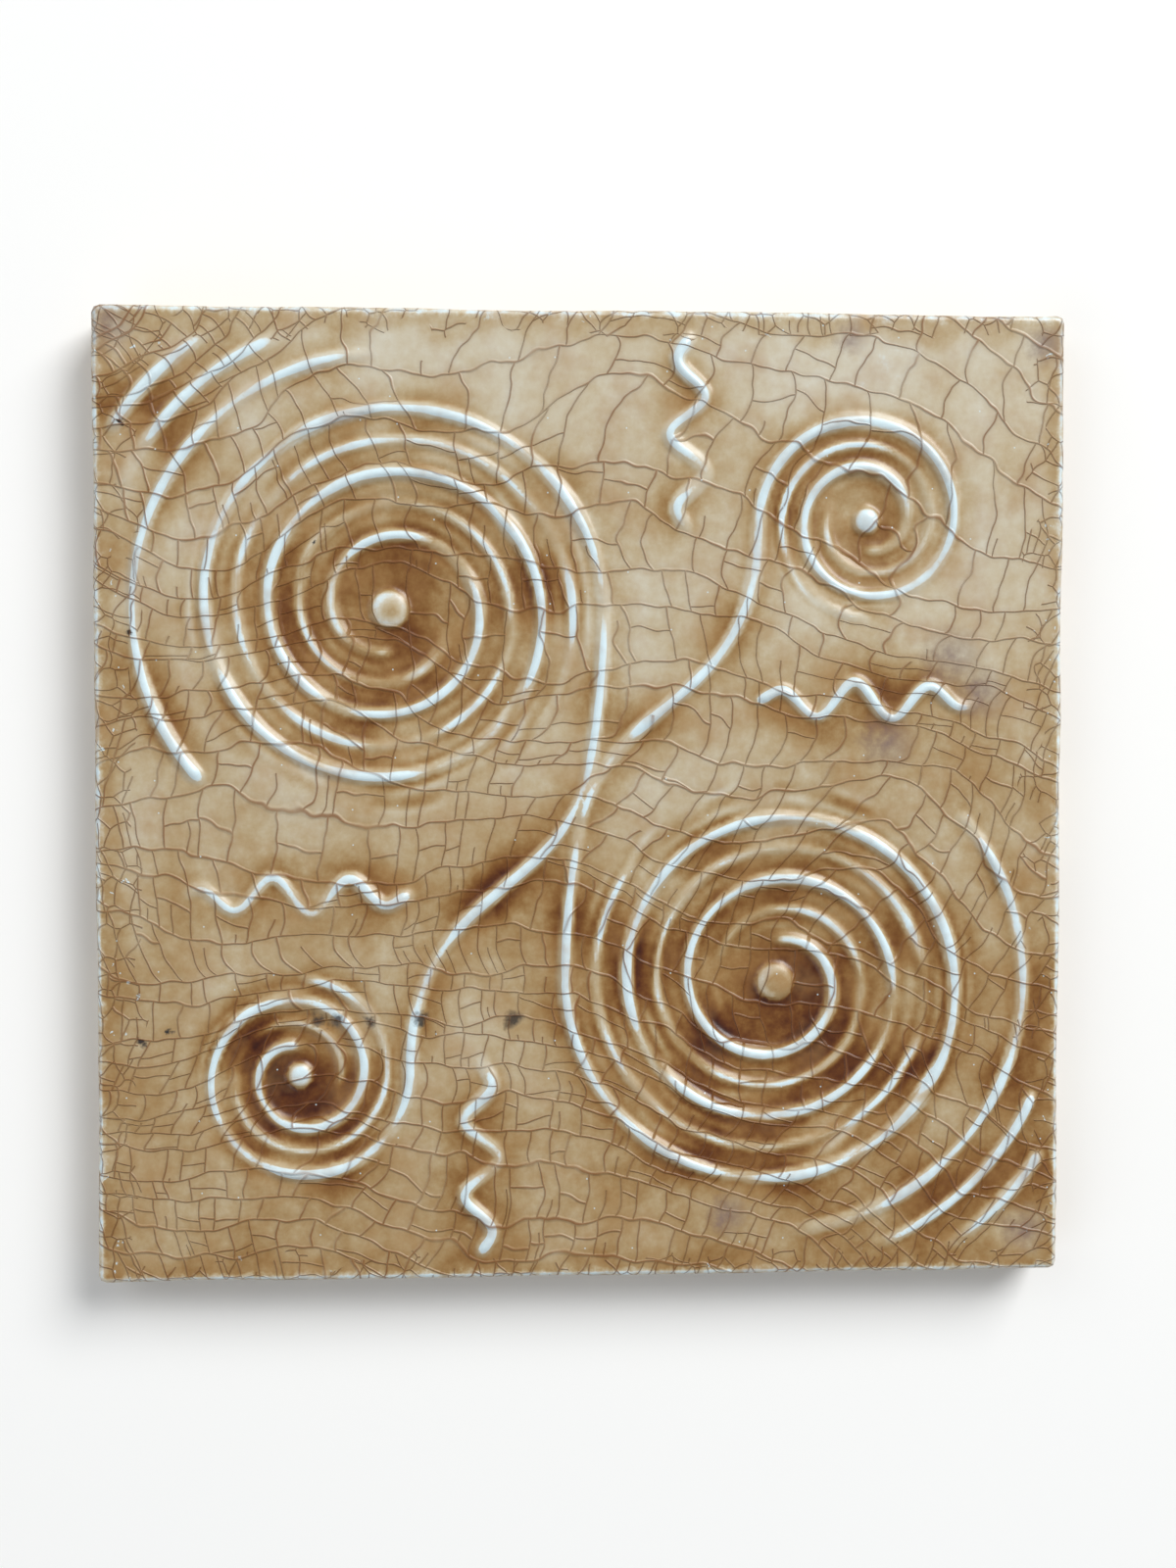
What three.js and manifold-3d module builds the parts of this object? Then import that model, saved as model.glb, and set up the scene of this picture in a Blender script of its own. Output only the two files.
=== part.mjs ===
// A relief wall tile with a translucent glaze, pressed and fired as one piece of earthenware.
// Millimetres, +Z up. The tile lies on its back: the origin is the middle of the back, +Z comes out of
// the glazed face, and +Y points to the tile's top edge when it hangs on a wall.
// The face is a plain field. Two large and two small scrolls lie in shallow bowls sunk into it, round
// raised beads, each with a fainter second arm between its turns. A stem joins the large ones into an S,
// branches join the small ones to it, and wave lines and bent lines fill the ground. The design is the
// same after half a turn.
// The back has blind grooves that key the tile to its adhesive.
import * as THREE from "three";
import { mergeVertices } from "three/addons/utils/BufferGeometryUtils.js";
import Module from "manifold-3d";

// The slab
const SIDE = 150;
const FIELD_THICKNESS = 9.5;
const CORNER_RADIUS = 1.2;
const ARRIS = 1.0;

// The raised lines: low banks of clay, narrower at the crest
const LINE_HEIGHT = 1.0;
const LINE_FOOT = 3.2;
const LINE_CREST = 0.9;
const LINE_ROOT = 0.35;
const LINE_EDGE_MARGIN = 1.6;
const TIP_LIFT = 0.25;

// The fainter arms, half a turn round from the scrolls' own lines, over a part of their length
const FAINT_HEIGHT = 0.5;
const FAINT_FOOT = 2.4;
const FAINT_CREST = 0.6;
const FAINT_FROM = 0.1;
const FAINT_TO = 0.86;

// The large scrolls, at the upper left and the lower right
const LARGE_RADIUS = 33;
const LARGE_EYE = 6.5;
const LARGE_TURNS = 2.75;
const LARGE_BOWL_DEPTH = 1.8;
const LARGE_BOWL_LIP = 2.5;
const LARGE_BEAD_RADIUS = 3.2;
const LARGE_SIDE_GAP = 12;
const LARGE_END_GAP = 13;

// The small scrolls, at the upper right and the lower left
const SMALL_RADIUS = 17;
const SMALL_EYE = 4.5;
const SMALL_TURNS = 1.75;
const SMALL_BOWL_DEPTH = 1.2;
const SMALL_BOWL_LIP = 2;
const SMALL_BEAD_RADIUS = 2.2;
const SMALL_SIDE_GAP = 14;
const SMALL_END_GAP = 15;

// The beads stand this high over the floor of their bowl
const BEAD_HEIGHT = 1.1;

// The bent lines that follow the large scrolls round their corners of the tile
const BENT_GAP = 6;
const BENT_PITCH = 5.5;
const BENT_ARCS_DEG = [
  [92, 222],
  [110, 156],
  [121, 147],
];

// The wave lines under and beside each small scroll
const WAVE_SWING = 2.8;
const WAVE_LENGTH = 12;
const WAVE_GAP = 11;
const UNDER_WAVE_RUN = 34;
const BESIDE_WAVE_RUN = 30;

// The keying grooves in the back
const KEY_DEPTH = 1.0;
const KEY_WIDTH = 8;
const KEY_FLOOR_WIDTH = 7;
const KEY_RIB = 5;
const KEY_RIM = 9;

// How finely curves are cut into straight steps
const TURN_STEPS = 24;
const FAINT_TURN_STEPS = 18;
const BENT_TURN_STEPS = 36;
const STEM_STEPS = 9;
const WAVE_STEPS = 8;
const BOWL_STEPS = 28;
const BOWL_RINGS = 4;
const BEAD_STEPS = 14;
const BEAD_RINGS = 3;
const OVERCUT = 1;

const HALF = SIDE / 2;
const LARGE = {
  x: LARGE_SIDE_GAP + LARGE_RADIUS - HALF,
  y: HALF - LARGE_END_GAP - LARGE_RADIUS,
  radius: LARGE_RADIUS,
  eye: LARGE_EYE,
  turns: LARGE_TURNS,
  hand: 1,
  endAngle: 0,
  bowlRadius: LARGE_RADIUS + LARGE_BOWL_LIP,
  bowlDepth: LARGE_BOWL_DEPTH,
  beadRadius: LARGE_BEAD_RADIUS,
};
const SMALL = {
  x: HALF - SMALL_SIDE_GAP - SMALL_RADIUS,
  y: HALF - SMALL_END_GAP - SMALL_RADIUS,
  radius: SMALL_RADIUS,
  eye: SMALL_EYE,
  turns: SMALL_TURNS,
  hand: -1,
  endAngle: Math.PI,
  bowlRadius: SMALL_RADIUS + SMALL_BOWL_LIP,
  bowlDepth: SMALL_BOWL_DEPTH,
  beadRadius: SMALL_BEAD_RADIUS,
};
const SCROLLS = [LARGE, SMALL];
const BOLD = { height: LINE_HEIGHT, foot: LINE_FOOT, crest: LINE_CREST };
const FAINT = { height: FAINT_HEIGHT, foot: FAINT_FOOT, crest: FAINT_CREST };

const wasm = await Module();
wasm.setup();

// A closed three.js geometry as a solid that can be joined and cut.
function solid(geometry) {
  const bare = new THREE.BufferGeometry();
  const loose = geometry.index ? geometry.toNonIndexed() : geometry;
  bare.setAttribute("position", loose.getAttribute("position"));
  const merged = mergeVertices(bare, 1e-4);
  return new wasm.Manifold(
    new wasm.Mesh({
      numProp: 3,
      vertProperties: merged.attributes.position.array,
      triVerts: new Uint32Array(merged.index.array),
    }),
  );
}

// A solid back as a three.js geometry.
function geometryOf(shape) {
  const mesh = shape.getMesh();
  const geometry = new THREE.BufferGeometry();
  geometry.setAttribute("position", new THREE.BufferAttribute(mesh.vertProperties, 3));
  geometry.setIndex(new THREE.BufferAttribute(mesh.triVerts, 1));
  return geometry;
}

// A point of the face after half a turn of the design.
function halfTurn({ x, y }) {
  return { x: -x, y: -y };
}

// A square with rounded corners, as a shape.
function roundedSquare(half, radius) {
  const shape = new THREE.Shape();
  const inner = half - radius;
  shape.absarc(inner, -inner, radius, -Math.PI / 2, 0);
  shape.absarc(inner, inner, radius, 0, Math.PI / 2);
  shape.absarc(-inner, inner, radius, Math.PI / 2, Math.PI);
  shape.absarc(-inner, -inner, radius, Math.PI, 1.5 * Math.PI);
  return shape;
}

// The plain slab, its arrises rounded on the face and on the back.
function slab() {
  const geometry = new THREE.ExtrudeGeometry(roundedSquare(HALF, CORNER_RADIUS), {
    depth: FIELD_THICKNESS - 2 * ARRIS,
    bevelThickness: ARRIS,
    bevelSize: ARRIS,
    bevelOffset: -ARRIS,
    bevelSegments: 3,
    curveSegments: 3,
  });
  return solid(geometry.translate(0, 0, ARRIS));
}

// How far a bowl is sunk at a distance from its middle: half a cosine wave, level at middle and rim.
function bowlDepthAt(scroll, distance) {
  const share = Math.min(distance / scroll.bowlRadius, 1);
  return (scroll.bowlDepth * (1 + Math.cos(Math.PI * share))) / 2;
}

// The ground under the lines at a point of the face, in the bowl that it is nearest to.
function groundHeight(x, y) {
  const depths = SCROLLS.flatMap((scroll) => [
    bowlDepthAt(scroll, Math.hypot(x - scroll.x, y - scroll.y)),
    bowlDepthAt(scroll, Math.hypot(x + scroll.x, y + scroll.y)),
  ]);
  return FIELD_THICKNESS - Math.max(...depths);
}

// A turned solid over a point of the face, from a profile of radius and height.
function turned(profile, steps, x, y, z) {
  const geometry = new THREE.LatheGeometry(profile, steps);
  geometry.rotateX(Math.PI / 2);
  return solid(geometry.translate(x, y, z));
}

// The cutter that sinks a scroll's bowl: the space over the bowl. The half turn is side -1.
function bowlCutter(scroll, side) {
  const profile = [];
  for (let ring = 0; ring <= BOWL_RINGS; ring++) {
    const r = (scroll.bowlRadius * ring) / BOWL_RINGS;
    profile.push(new THREE.Vector2(r, -bowlDepthAt(scroll, r)));
  }
  profile.push(new THREE.Vector2(scroll.bowlRadius, OVERCUT));
  profile.push(new THREE.Vector2(0, OVERCUT));
  return turned(profile, BOWL_STEPS, side * scroll.x, side * scroll.y, FIELD_THICKNESS);
}

// The round bead in a scroll's eye: a low dome rooted in the floor of the bowl.
function bead(scroll, side) {
  const profile = [new THREE.Vector2(0, -LINE_ROOT), new THREE.Vector2(scroll.beadRadius, -LINE_ROOT)];
  for (let ring = 0; ring < BEAD_RINGS; ring++) {
    const angle = (Math.PI / 2) * (ring / BEAD_RINGS);
    profile.push(new THREE.Vector2(scroll.beadRadius * Math.cos(angle), BEAD_HEIGHT * Math.sin(angle)));
  }
  profile.push(new THREE.Vector2(0, BEAD_HEIGHT));
  const floor = FIELD_THICKNESS - scroll.bowlDepth;
  return turned(profile, BEAD_STEPS, side * scroll.x, side * scroll.y, floor);
}

// A scroll's line from its eye (share 0) to its outer end (share 1). The radius grows evenly with the
// angle, clockwise where the scroll's hand is 1.
function scrollPoint(scroll, share) {
  const angle = scroll.endAngle + scroll.hand * 2 * Math.PI * scroll.turns * (1 - share);
  const r = scroll.eye + (scroll.radius - scroll.eye) * share;
  return { x: scroll.x + r * Math.cos(angle), y: scroll.y + r * Math.sin(angle) };
}

// Points of a path at even shares of it.
function sample(path, steps) {
  return Array.from({ length: steps + 1 }, (_, i) => path(i / steps));
}

function scrollLine(scroll) {
  return sample((share) => scrollPoint(scroll, share), Math.round(scroll.turns * TURN_STEPS));
}

// The fainter arm of a scroll: the same line after half a turn about the scroll's own middle.
function faintArm(scroll) {
  const turned = { ...scroll, endAngle: scroll.endAngle + Math.PI };
  const reach = FAINT_TO - FAINT_FROM;
  const steps = Math.round(scroll.turns * reach * FAINT_TURN_STEPS);
  return sample((share) => scrollPoint(turned, FAINT_FROM + reach * share), steps);
}

// The point at a share of a cubic Bezier curve.
function bezierPoint([a, b, c, d], share) {
  const rest = 1 - share;
  const weights = [rest ** 3, 3 * rest ** 2 * share, 3 * rest * share ** 2, share ** 3];
  const mix = (axis) => weights[0] * a[axis] + weights[1] * b[axis] + weights[2] * c[axis] + weights[3] * d[axis];
  return { x: mix("x"), y: mix("y") };
}

// The stem that joins the two large scrolls, straight down at both ends and at its middle on the axis.
function stemCurve() {
  const start = scrollPoint(LARGE, 1);
  const end = halfTurn(start);
  const reach = 0.8 * start.y;
  return [start, { x: start.x, y: start.y - reach }, { x: end.x, y: end.y + reach }, end];
}

// The branch from the stem to a small scroll: it leaves along the stem and bows out to the scroll's side.
function branchCurve() {
  const start = bezierPoint(stemCurve(), 0.6);
  const end = scrollPoint(SMALL, 1);
  return [start, { x: start.x + 4, y: start.y + 22 }, { x: end.x, y: end.y - 1.8 * SMALL_RADIUS }, end];
}

// A bent line: an arc round the middle of a large scroll.
function bentLine([fromDeg, toDeg], order) {
  const radius = LARGE_RADIUS + BENT_GAP + order * BENT_PITCH;
  const steps = Math.ceil(((toDeg - fromDeg) / 360) * BENT_TURN_STEPS);
  const at = (share) => {
    const angle = THREE.MathUtils.degToRad(fromDeg + (toDeg - fromDeg) * share);
    return { x: LARGE.x + radius * Math.cos(angle), y: LARGE.y + radius * Math.sin(angle) };
  };
  return sample(at, steps);
}

// A wave line: a straight run with a sine swing to the side that dies away at both ends.
function waveLine(start, end) {
  const run = Math.hypot(end.x - start.x, end.y - start.y);
  const along = { x: (end.x - start.x) / run, y: (end.y - start.y) / run };
  const at = (share) => {
    const swing = WAVE_SWING * Math.sin((2 * Math.PI * run * share) / WAVE_LENGTH);
    const side = swing * Math.sqrt(Math.sin(Math.PI * share));
    return {
      x: start.x + along.x * run * share - along.y * side,
      y: start.y + along.y * run * share + along.x * side,
    };
  };
  return sample(at, Math.round((run / WAVE_LENGTH) * WAVE_STEPS));
}

// A raised line as a solid bank along a path. Its section is a trapezoid rooted below the ground.
// It comes down to a low, narrow tip over the last step at each end.
function bank(points, line) {
  const last = points.length - 1;
  const rings = points.map((p, i) => {
    const before = points[Math.max(i - 1, 0)];
    const after = points[Math.min(i + 1, last)];
    const run = Math.hypot(after.x - before.x, after.y - before.y);
    const normal = { x: -(after.y - before.y) / run, y: (after.x - before.x) / run };
    const tip = i === 0 || i === last;
    const scale = tip ? 0.5 : 1;
    const ground = groundHeight(p.x, p.y);
    const top = ground + (tip ? TIP_LIFT : line.height);
    const foot = (scale * line.foot) / 2;
    const crest = (scale * line.crest) / 2;
    const corner = (offset, z) => [p.x + normal.x * offset, p.y + normal.y * offset, z];
    const root = ground - LINE_ROOT;
    return [corner(foot, root), corner(-foot, root), corner(-crest, top), corner(crest, top)];
  });
  return solid(ringSolid(rings));
}

// A closed geometry skinned over a row of four-cornered rings, capped at both ends.
function ringSolid(rings) {
  const triangles = [];
  const quad = (a, b, c, d) => triangles.push(a, b, c, a, c, d);
  const first = rings[0];
  const last = rings[rings.length - 1];
  quad(first[0], first[1], first[2], first[3]);
  quad(last[3], last[2], last[1], last[0]);
  for (let i = 1; i < rings.length; i++) {
    for (let side = 0; side < 4; side++) {
      const next = (side + 1) % 4;
      quad(rings[i - 1][side], rings[i][side], rings[i][next], rings[i - 1][next]);
    }
  }
  const geometry = new THREE.BufferGeometry();
  geometry.setAttribute("position", new THREE.Float32BufferAttribute(triangles.flat(), 3));
  return geometry;
}

// The S of the two large scrolls and the stem between them, in one stroke. It is its own half turn.
function mainPath() {
  const large = scrollLine(LARGE);
  const stem = sample((share) => bezierPoint(stemCurve(), share), STEM_STEPS);
  return [...large, ...stem.slice(1, -1), ...large.map(halfTurn).reverse()];
}

// The paths of the other lines of one half of the design. Half a turn gives their twins.
function halfPaths() {
  const small = scrollLine(SMALL).reverse();
  const branch = sample((share) => bezierPoint(branchCurve(), share), STEM_STEPS);
  const underY = SMALL.y - SMALL_RADIUS - WAVE_GAP;
  const besideX = SMALL.x - SMALL_RADIUS - WAVE_GAP;
  const under = waveLine(
    { x: SMALL.x - UNDER_WAVE_RUN / 2, y: underY },
    { x: SMALL.x + UNDER_WAVE_RUN / 2, y: underY },
  );
  const beside = waveLine(
    { x: besideX, y: SMALL.y + SMALL_RADIUS + WAVE_GAP - BESIDE_WAVE_RUN },
    { x: besideX, y: SMALL.y + SMALL_RADIUS + WAVE_GAP },
  );
  return [[...branch, ...small.slice(1)], under, beside, ...BENT_ARCS_DEG.map(bentLine)];
}

// Everything within the edge margin, as a tall block that trims the lines.
function trimBlock() {
  const geometry = new THREE.ExtrudeGeometry(
    roundedSquare(HALF - ARRIS - LINE_EDGE_MARGIN, CORNER_RADIUS),
    { depth: FIELD_THICKNESS + LINE_HEIGHT + OVERCUT, bevelEnabled: false, curveSegments: 3 },
  );
  return solid(geometry);
}

// Paths with the same paths after half a turn of the design.
function withTwins(paths) {
  return [...paths, ...paths.map((path) => path.map(halfTurn))];
}

function reliefLines() {
  const bold = [mainPath(), ...withTwins(halfPaths())].map((path) => bank(path, BOLD));
  const faint = withTwins(SCROLLS.map(faintArm)).map((path) => bank(path, FAINT));
  return wasm.Manifold.union([...bold, ...faint]).intersect(trimBlock());
}

// The blind grooves of the back, side by side, with a rib on the middle line and a rim all round.
function keyGrooves() {
  const room = SIDE - 2 * KEY_RIM;
  const pairs = Math.floor((room + KEY_RIB) / (KEY_WIDTH + KEY_RIB) / 2);
  const section = new THREE.Shape([
    new THREE.Vector2(-KEY_WIDTH / 2, -OVERCUT),
    new THREE.Vector2(KEY_WIDTH / 2, -OVERCUT),
    new THREE.Vector2(KEY_WIDTH / 2, 0),
    new THREE.Vector2(KEY_FLOOR_WIDTH / 2, KEY_DEPTH),
    new THREE.Vector2(-KEY_FLOOR_WIDTH / 2, KEY_DEPTH),
    new THREE.Vector2(-KEY_WIDTH / 2, 0),
  ]);
  const grooves = [];
  for (let i = -pairs; i < pairs; i++) {
    const x = (i + 0.5) * (KEY_WIDTH + KEY_RIB);
    const geometry = new THREE.ExtrudeGeometry(section, { depth: room, bevelEnabled: false });
    geometry.rotateX(Math.PI / 2);
    grooves.push(solid(geometry.translate(x, room / 2, 0)));
  }
  return grooves;
}

function tileSolid() {
  const bowls = SCROLLS.flatMap((scroll) => [bowlCutter(scroll, 1), bowlCutter(scroll, -1)]);
  const beads = SCROLLS.flatMap((scroll) => [bead(scroll, 1), bead(scroll, -1)]);
  const ground = slab().subtract(wasm.Manifold.union(bowls));
  const tile = wasm.Manifold.union([ground, reliefLines(), ...beads]);
  return tile.subtract(wasm.Manifold.union(keyGrooves()));
}

const glaze = new THREE.MeshStandardMaterial({ color: 0xb09468, roughness: 0.2, metalness: 0 });
const tile = new THREE.Mesh(geometryOf(tileSolid()), glaze);
tile.name = "tile";

const part = new THREE.Group();
part.add(tile);

export default part;
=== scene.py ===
# %% [markdown]
# # A relief tile under a honey-coloured glaze
#
# The object is one pressed wall tile, 15 cm square. Damp clay was pressed into a mould that gave it sunk
# bowls and raised lines, fired once, dipped in a translucent glaze and fired again. The hot glaze ran off
# the raised lines and pooled beside them, so the drawing is made of light and dark honey. Years later the
# glaze has crazed: a net of fine cracks, stained brown.
#
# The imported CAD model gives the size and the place. This lesson models the same tile as one fine mesh,
# works out how deep the glaze lies on it, and lets the materials turn that depth into colour.

# %% Load the frame
import math

import bpy
import numpy as np
from mathutils import Matrix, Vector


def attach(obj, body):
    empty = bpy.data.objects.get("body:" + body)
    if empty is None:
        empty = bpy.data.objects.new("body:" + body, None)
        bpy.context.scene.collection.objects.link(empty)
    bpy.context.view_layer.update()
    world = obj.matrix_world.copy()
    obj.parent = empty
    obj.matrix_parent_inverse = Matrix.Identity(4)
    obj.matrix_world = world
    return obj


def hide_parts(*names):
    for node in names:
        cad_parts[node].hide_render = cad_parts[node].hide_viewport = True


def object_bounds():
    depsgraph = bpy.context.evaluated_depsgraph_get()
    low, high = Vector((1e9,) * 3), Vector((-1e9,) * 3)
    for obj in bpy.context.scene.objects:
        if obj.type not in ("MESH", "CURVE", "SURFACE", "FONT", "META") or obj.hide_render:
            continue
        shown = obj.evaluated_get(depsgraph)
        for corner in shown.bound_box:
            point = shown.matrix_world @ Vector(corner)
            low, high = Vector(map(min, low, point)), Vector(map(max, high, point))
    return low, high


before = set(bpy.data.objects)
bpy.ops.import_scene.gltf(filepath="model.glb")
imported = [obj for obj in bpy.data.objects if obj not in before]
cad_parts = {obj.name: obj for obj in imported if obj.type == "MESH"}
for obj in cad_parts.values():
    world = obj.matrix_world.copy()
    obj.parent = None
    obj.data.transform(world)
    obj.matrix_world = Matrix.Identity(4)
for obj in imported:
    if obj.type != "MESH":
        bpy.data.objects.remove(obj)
cad_low, cad_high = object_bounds()
MM = 0.001
SIDE = (cad_high.x - cad_low.x) / MM
HALF = SIDE / 2
LINE_HEIGHT = 1.0
FIELD = cad_high.z / MM - LINE_HEIGHT
print(f"tile {SIDE:.1f} mm square, field {FIELD:.1f} mm over the back")

# %% [markdown]
# ## The camera
#
# The photograph looks straight down on the face, a little askew. A camera can be placed by hand until the
# corners fall right, or worked out. Four corners of a known square are enough: they fix the map from the
# face to the picture, and the map's columns are the camera's own directions. The long side of the picture
# is as wide as Blender's 36 mm sensor, which turns the focal length in pixels into a lens.

# %% Place the camera by the four corners of the face
PHOTO_WIDTH, PHOTO_HEIGHT = 1200, 1600
FOCAL_PX = 2000
SENSOR = 36
CORNERS_PX = {
    (-1, 1): (88.5, 307.9), (1, 1): (1087.1, 323.8),
    (-1, -1): (101.0, 1308.0), (1, -1): (1081.5, 1296.7),
}

rows = []
for (side_x, side_y), (u, v) in CORNERS_PX.items():
    x, y = side_x * HALF, side_y * HALF
    rows.append([x, y, 1, 0, 0, 0, -u * x, -u * y, -u])
    rows.append([0, 0, 0, x, y, 1, -v * x, -v * y, -v])
face_to_photo = np.linalg.svd(np.array(rows))[2][-1].reshape(3, 3)
lens_matrix = np.array([[FOCAL_PX, 0, PHOTO_WIDTH / 2], [0, FOCAL_PX, PHOTO_HEIGHT / 2], [0, 0, 1]])
columns = np.linalg.inv(lens_matrix) @ face_to_photo
columns /= math.sqrt(np.linalg.norm(columns[:, 0]) * np.linalg.norm(columns[:, 1])) * np.sign(columns[2, 2])
first, _, second = np.linalg.svd(np.column_stack([columns[:, :2], np.cross(columns[:, 0], columns[:, 1])]))
turn = first @ second
eye = -turn.T @ columns[:, 2] + [0, 0, FIELD]

camera_data = bpy.data.cameras.new("camera")
camera_data.sensor_width = SENSOR
camera_data.lens = SENSOR * FOCAL_PX / PHOTO_HEIGHT
camera_data.clip_start = 0.01
camera = bpy.data.objects.new("camera", camera_data)
bpy.context.collection.objects.link(camera)
pose = np.eye(4)
pose[:3, :3] = turn.T @ np.diag([1, -1, -1])
pose[:3, 3] = eye * MM
camera.matrix_world = Matrix(pose)
bpy.context.scene.camera = camera
print("camera", eye.round(1), "mm, lens", camera_data.lens)

# %% [markdown]
# ## The drawing
#
# The raised lines are the same ones that the CAD model has. A point of the face is one complex number,
# x + iy in millimetres. That makes the drawing short to write: half a turn is a minus sign, and a circle
# is exp(i angle). The lines could be curve objects, but the next step wants their points.

# %% Draw the lines
LARGE_RADIUS, LARGE_EYE, LARGE_TURNS = 33, 6.5, 2.75
SMALL_RADIUS, SMALL_EYE, SMALL_TURNS = 17, 4.5, 1.75
LARGE_SIDE_GAP, LARGE_END_GAP = 12, 13
SMALL_SIDE_GAP, SMALL_END_GAP = 14, 15
LARGE_MIDDLE = complex(LARGE_SIDE_GAP + LARGE_RADIUS - HALF, HALF - LARGE_END_GAP - LARGE_RADIUS)
SMALL_MIDDLE = complex(HALF - SMALL_SIDE_GAP - SMALL_RADIUS, HALF - SMALL_END_GAP - SMALL_RADIUS)
STEM_PULL, FORK_AT = 0.8, 0.6
BRANCH_START_PULL, BRANCH_END_PULL = 4 + 22j, 1.8
BENT_GAP, BENT_PITCH = 6, 5.5
BENT_ARCS_DEG = [(92, 222), (110, 156), (121, 147)]
WAVE_SWING, WAVE_LENGTH, WAVE_GAP = 2.8, 12, 11
UNDER_WAVE_RUN, BESIDE_WAVE_RUN = 34, 30
FAINT_FROM, FAINT_TO = 0.1, 0.86
share = np.linspace(0, 1, 600)


def scroll(middle, radius, eye, turns, hand, end_angle, along):
    """Middle + r exp(i angle): r grows evenly from eye to rim while the angle turns back to its end."""
    angle = end_angle + hand * 2 * np.pi * turns * (1 - along)
    return middle + (eye + (radius - eye) * along) * np.exp(1j * angle)


def arc(middle, radius, start_deg, end_deg):
    """Middle + radius exp(i angle), the angle growing evenly from start to end."""
    return middle + radius * np.exp(1j * np.radians(start_deg + (end_deg - start_deg) * share))


def bezier(a, b, c, d):
    """Cubic Bezier curve: the four points weighted by the terms of (1 - share + share) cubed."""
    rest = 1 - share
    return a * rest**3 + 3 * b * rest**2 * share + 3 * c * rest * share**2 + d * share**3


def wave(start, end):
    """A straight run plus a sine to its left, dying away at both ends as the root of half a sine."""
    run = abs(end - start)
    swing = WAVE_SWING * np.sin(2 * np.pi * run * share / WAVE_LENGTH) * np.sqrt(np.sin(np.pi * share))
    return start + (end - start) / run * (run * share + 1j * swing)


large_shape = (LARGE_MIDDLE, LARGE_RADIUS, LARGE_EYE, LARGE_TURNS, 1)
small_shape = (SMALL_MIDDLE, SMALL_RADIUS, SMALL_EYE, SMALL_TURNS, -1)
large = scroll(*large_shape, 0, share)
small = scroll(*small_shape, np.pi, share)
reach = 1j * STEM_PULL * large[-1].imag
stem = bezier(large[-1], large[-1] - reach, -large[-1] + reach, -large[-1])
fork = stem[int(FORK_AT * len(stem))]
branch_end_pull = 1j * BRANCH_END_PULL * SMALL_RADIUS
branch = bezier(fork, fork + BRANCH_START_PULL, small[-1] - branch_end_pull, small[-1])
under = SMALL_MIDDLE - 1j * (SMALL_RADIUS + WAVE_GAP)
beside = SMALL_MIDDLE - (SMALL_RADIUS + WAVE_GAP) * (1 - 1j)
bent = [
    arc(LARGE_MIDDLE, LARGE_RADIUS + BENT_GAP + BENT_PITCH * order, *ends)
    for order, ends in enumerate(BENT_ARCS_DEG)
]
twinned = [
    np.concatenate([branch, small[::-1]]),
    wave(under - UNDER_WAVE_RUN / 2, under + UNDER_WAVE_RUN / 2),
    wave(beside - 1j * BESIDE_WAVE_RUN, beside),
    *bent,
]
main_line = np.concatenate([large, stem, -large[::-1]])
main_length = np.abs(np.diff(main_line)).sum()
print(f"main line {main_length:.0f} mm long, and {len(twinned)} more lines, each drawn twice")

# %% Say how each line begins and ends
BLUNT, SOFT, TAIL = 1.6, 6, 16
twinned_tips = [(SOFT, BLUNT), (BLUNT, SOFT), (SOFT, BLUNT)] + [(TAIL, BLUNT)] * len(bent)
bold_lines = [(main_line, (BLUNT, BLUNT))]
bold_lines += [(side * line, tips) for side in (1, -1) for line, tips in zip(twinned, twinned_tips)]
faint_share = FAINT_FROM + (FAINT_TO - FAINT_FROM) * share
faint_half = [scroll(*large_shape, np.pi, faint_share), scroll(*small_shape, 2 * np.pi, faint_share)]
faint_lines = [(side * line, (SOFT, SOFT)) for side in (1, -1) for line in faint_half]
print(len(bold_lines), "bold lines and", len(faint_lines), "faint ones")

# %% [markdown]
# ## The face as a height over a grid
#
# Pressed relief has no undercuts, so the face is a height over a flat grid. The mesh could be sculpted or
# displaced by an image, but a formula keeps the lines sharp at any size. The grid is finer in its last few
# millimetres, where the edge rounds over. Under each scroll the face sinks into a shallow bowl, and a round
# bead sits in the scroll's eye.

# %% Ground and bowls
ARRIS = 1.0
EDGE_ZONE, EDGE_STEPS = 1.5, 6
FIELD_STEPS = 264
inner = HALF - ARRIS
edge_axis = np.linspace(inner - EDGE_ZONE, inner, EDGE_STEPS + 1)
field_axis = np.linspace(-edge_axis[0], edge_axis[0], FIELD_STEPS + 1)[1:-1]
axis = np.concatenate([-edge_axis[::-1], field_axis, edge_axis])
X, Y = np.meshgrid(axis, axis)
face = X + 1j * Y
LARGE_BOWL_LIP, LARGE_BOWL_DEPTH, LARGE_BEAD_RADIUS = 2.5, 1.8, 3.2
SMALL_BOWL_LIP, SMALL_BOWL_DEPTH, SMALL_BEAD_RADIUS = 2, 1.2, 2.2
BOWLS = [
    (LARGE_MIDDLE, LARGE_RADIUS + LARGE_BOWL_LIP, LARGE_BOWL_DEPTH, LARGE_BEAD_RADIUS),
    (SMALL_MIDDLE, SMALL_RADIUS + SMALL_BOWL_LIP, SMALL_BOWL_DEPTH, SMALL_BEAD_RADIUS),
]
BEAD_HEIGHT = 1.1


def smooth(low, high, value):
    """0 up to low, 1 from high on, and 3 t^2 - 2 t^3 between them. Swapped limits turn it round."""
    t = np.clip((value - low) / (high - low), 0, 1)
    return t * t * (3 - 2 * t)


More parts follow.
